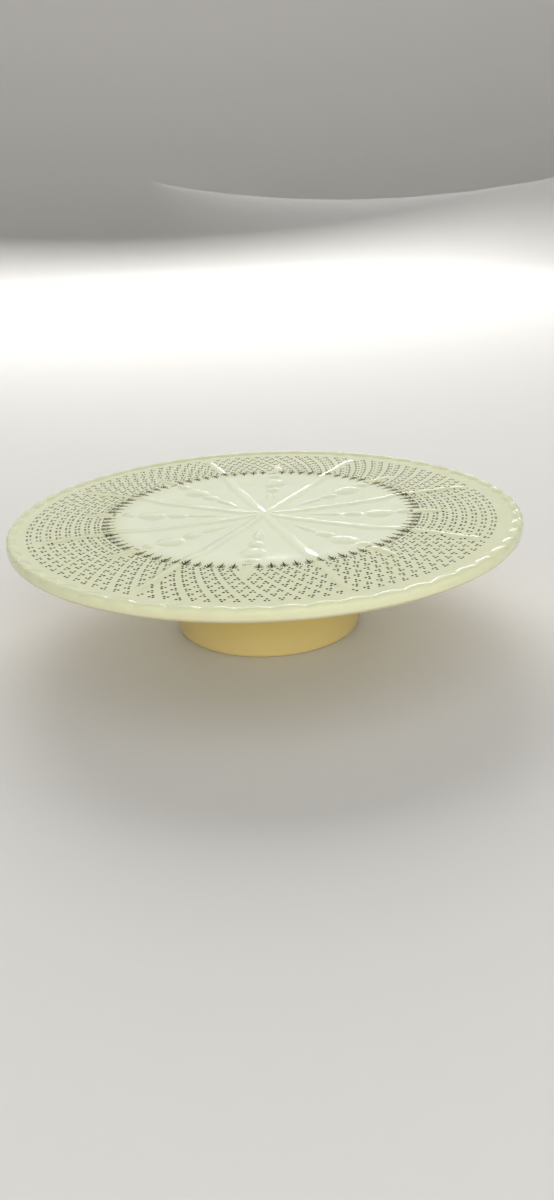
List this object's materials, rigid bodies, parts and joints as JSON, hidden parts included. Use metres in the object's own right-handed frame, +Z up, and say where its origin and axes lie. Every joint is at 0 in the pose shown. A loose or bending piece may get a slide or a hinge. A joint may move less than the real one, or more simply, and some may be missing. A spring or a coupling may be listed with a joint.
{
  "type": "cake stand",
  "caption": "Low cake stand: a round pressed opal glass plate with ribs, drops, a petalled lip and a gilt print, on a short hollow drum foot.",
  "frame": {"origin": "on the table, under the centre of the plate", "axes": "+Z up along the stand's axis, -Y to the front along a row of drops"},
  "size_m": [0.2802, 0.2802, 0.0652],
  "materials": {
    "plate_glass": "fire-polished opal glass, pale green-cream, glossy and faintly translucent",
    "foot_glass": "the same opal glass, looking warm amber where light comes through it",
    "dot_gilt": "fired gilt, tarnished to dark olive bronze",
    "leaf_gilt": "fired gilt, tarnished to dark brown bronze"
  },
  "bodies": {
    "root": {"plate": "plate_glass", "foot": "foot_glass", "gilt_dots_1": "dot_gilt", "gilt_dots_2": "dot_gilt", "gilt_dots_3": "dot_gilt", "gilt_dots_4": "dot_gilt", "gilt_dots_5": "dot_gilt", "gilt_dots_6": "dot_gilt", "gilt_dots_7": "dot_gilt", "gilt_dots_8": "dot_gilt", "gilt_garland_1": "leaf_gilt", "gilt_garland_2": "leaf_gilt", "gilt_garland_3": "leaf_gilt", "gilt_garland_4": "leaf_gilt", "gilt_garland_5": "leaf_gilt", "gilt_garland_6": "leaf_gilt", "gilt_garland_7": "leaf_gilt", "gilt_garland_8": "leaf_gilt", "gilt_garland_9": "leaf_gilt", "gilt_garland_10": "leaf_gilt", "gilt_garland_11": "leaf_gilt", "gilt_garland_12": "leaf_gilt", "gilt_garland_13": "leaf_gilt", "gilt_garland_14": "leaf_gilt", "gilt_garland_15": "leaf_gilt", "gilt_garland_16": "leaf_gilt"}
  },
  "joints": []
}
